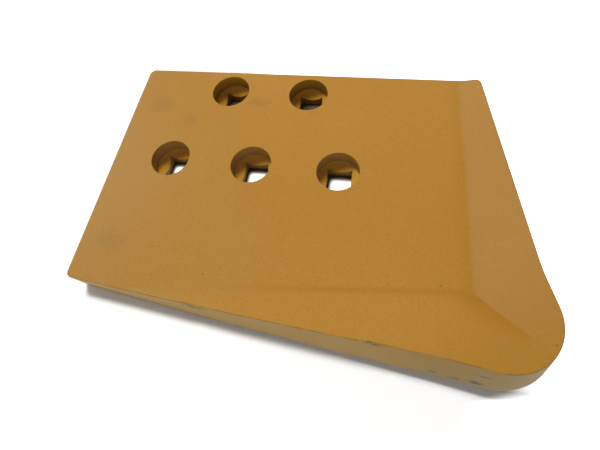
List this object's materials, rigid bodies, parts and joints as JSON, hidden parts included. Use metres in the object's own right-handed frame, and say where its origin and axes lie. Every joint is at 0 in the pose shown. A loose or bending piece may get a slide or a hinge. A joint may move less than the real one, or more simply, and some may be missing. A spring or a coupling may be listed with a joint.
{
  "type": "dozer end bit",
  "caption": "Right-hand dozer end bit, a thick wear plate cupped forward at the toe, with staggered square plow-bolt holes sunk in round recesses",
  "frame": {"origin": "on the flat back of the plate, in the middle of the bolt pattern: half way between the two bolt rows and on the middle hole of the lower row", "axes": "+X along the bolt rows from the joint with the cutting edge to the toe, +Y up the blade, +Z out of the digging face"},
  "size_m": [0.3688, 0.2507, 0.0368],
  "materials": {
    "ochre_paint": "satin"
  },
  "bodies": {
    "root": {"end_bit": "ochre_paint"}
  },
  "joints": []
}
